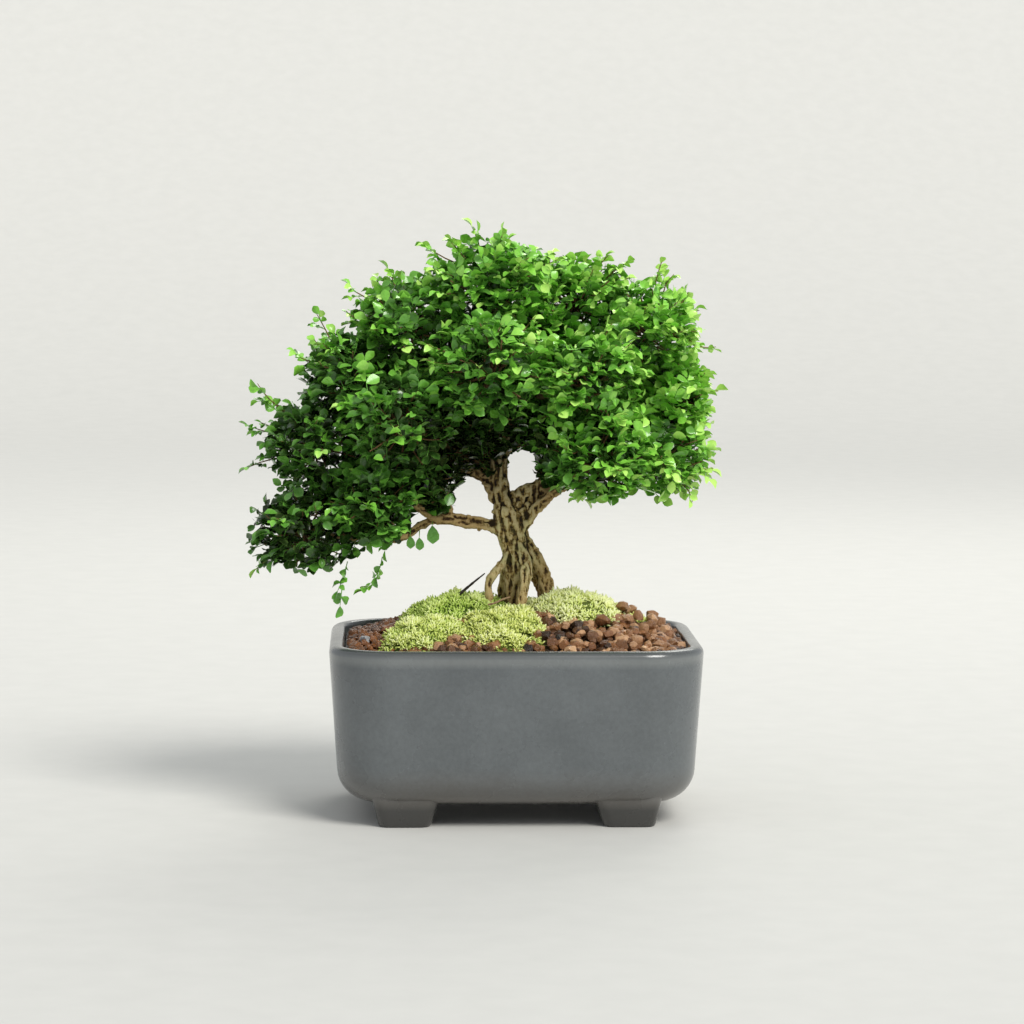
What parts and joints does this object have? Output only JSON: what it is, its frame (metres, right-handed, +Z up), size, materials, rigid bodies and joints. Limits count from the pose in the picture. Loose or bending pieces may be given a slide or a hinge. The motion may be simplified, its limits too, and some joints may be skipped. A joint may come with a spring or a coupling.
{
  "type": "dwarf orange jasmine bonsai in a pot",
  "caption": "Small broom-like tree with a wide leafy canopy on exposed roots, planted in grit and moss in a glazed rounded-rectangle pot with feet.",
  "frame": {"origin": "under the middle of the whole tree's width and depth, on the surface that the pot's feet stand on", "axes": "+X to the right of the front view, +Y to the back, +Z up along the trunk"},
  "size_m": [0.2758, 0.1774, 0.323],
  "materials": {
    "pot_glaze": "satin",
    "drain_mesh": "matte",
    "grit": "matte",
    "moss": "matte",
    "bark": "matte",
    "leaves": "satin"
  },
  "bodies": {
    "root": {"pot": "pot_glaze", "drain_screen_left": "drain_mesh", "drain_screen_right": "drain_mesh", "moss_centre": "moss", "moss_right": "moss", "moss_left_back": "moss", "moss_left_front": "moss", "moss_right_small": "moss", "moss_back": "moss", "moss_back_right": "moss", "grit": "grit", "tree": "bark", "dry_twig": "bark", "foliage_crown": "leaves", "foliage_crown_right": "leaves", "foliage_shoulder_right": "leaves", "foliage_right_tip": "leaves", "foliage_right_skirt": "leaves", "foliage_right_front": "leaves", "foliage_breast_right": "leaves", "foliage_breast_centre": "leaves", "foliage_shoulder_left": "leaves", "foliage_left_upper": "leaves", "foliage_left_mid": "leaves", "foliage_left_front": "leaves", "foliage_left_low": "leaves", "foliage_low_front": "leaves", "foliage_back_centre": "leaves", "foliage_back_right": "leaves", "foliage_back_left": "leaves"}
  },
  "joints": []
}
